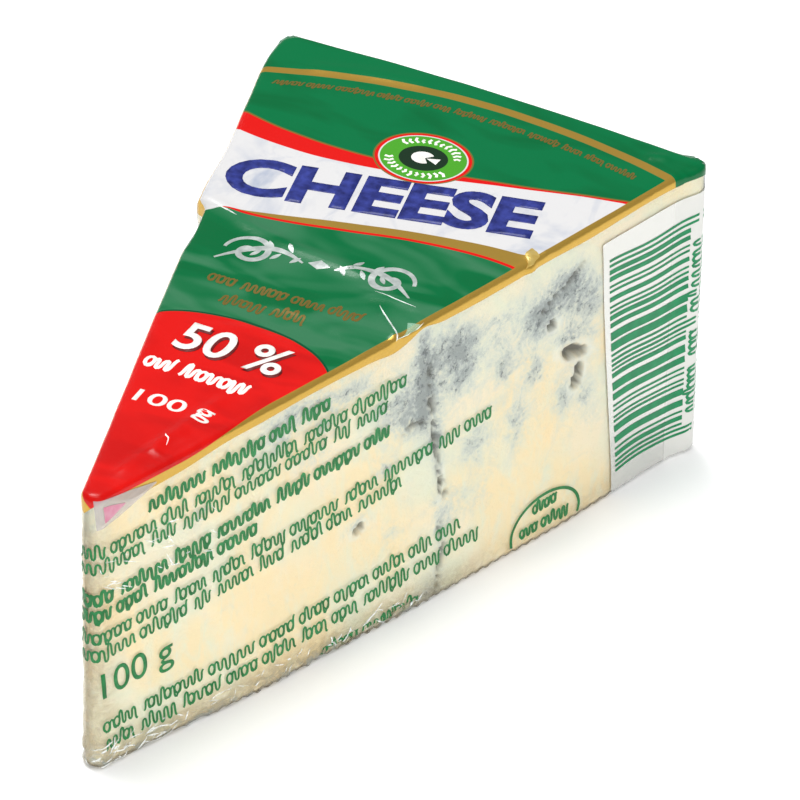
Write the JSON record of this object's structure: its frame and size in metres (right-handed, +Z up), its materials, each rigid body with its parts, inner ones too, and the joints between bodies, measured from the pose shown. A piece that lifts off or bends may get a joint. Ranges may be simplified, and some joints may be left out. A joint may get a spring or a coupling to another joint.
{
  "type": "wrapped blue cheese wedge",
  "caption": "Wedge of blue-veined cheese in a tight printed clear film, lying on its cut underside.",
  "frame": {"origin": "middle of the underside, on the surface it lies on", "axes": "+Z up, +Y from the nose towards the rind end, +X to the right seen from the nose"},
  "size_m": [0.055, 0.0908, 0.0396],
  "materials": {
    "cheese": "moist cream paste with blue-grey mould veins",
    "film": "thin glossy clear film printed green, red, gold and white"
  },
  "bodies": {
    "root": {"cheese_wedge": "cheese", "film_wrap": "film"}
  },
  "joints": []
}
